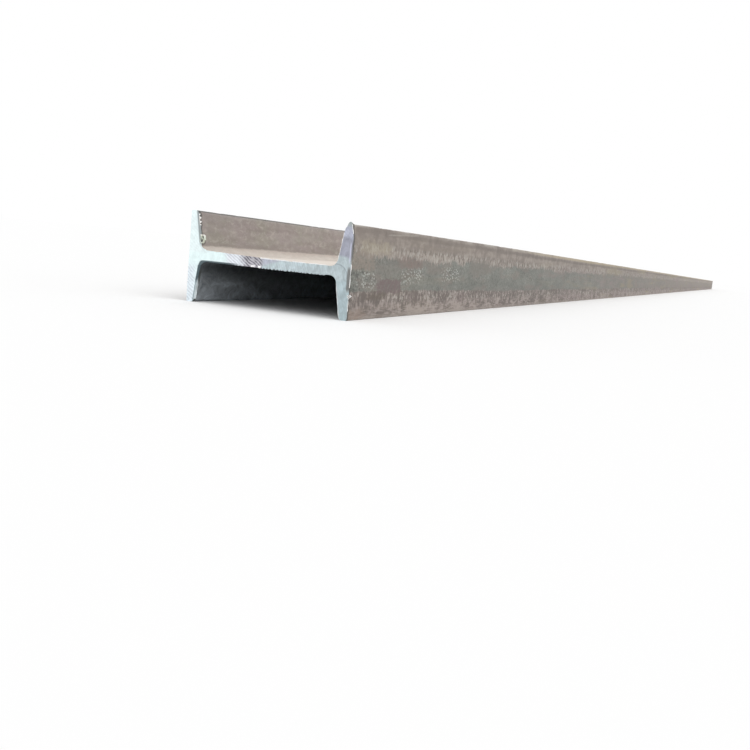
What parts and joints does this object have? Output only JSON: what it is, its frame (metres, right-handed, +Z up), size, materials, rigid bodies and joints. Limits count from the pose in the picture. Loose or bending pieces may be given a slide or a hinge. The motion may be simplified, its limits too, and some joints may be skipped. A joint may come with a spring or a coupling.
{
  "type": "steel i-beam",
  "caption": "Hot-rolled steel I-beam with tapered flanges, in a stock length sawn square at both ends, lying on its flange edges with the web level.",
  "frame": {"origin": "middle of the footprint: halfway along the beam and across its section, on the floor it lies on", "axes": "+Y along the beam's length, +X across its depth from one flange to the other, +Z up, across the width of the flanges and square to the web"},
  "size_m": [0.22, 12, 0.112],
  "materials": {
    "rolled_steel": "dull warm grey mill scale with light scuffs along the flanges; the sawn ends are bright bare steel with saw marks and a thin burr"
  },
  "bodies": {
    "root": {"i_beam": "rolled_steel"}
  },
  "joints": []
}
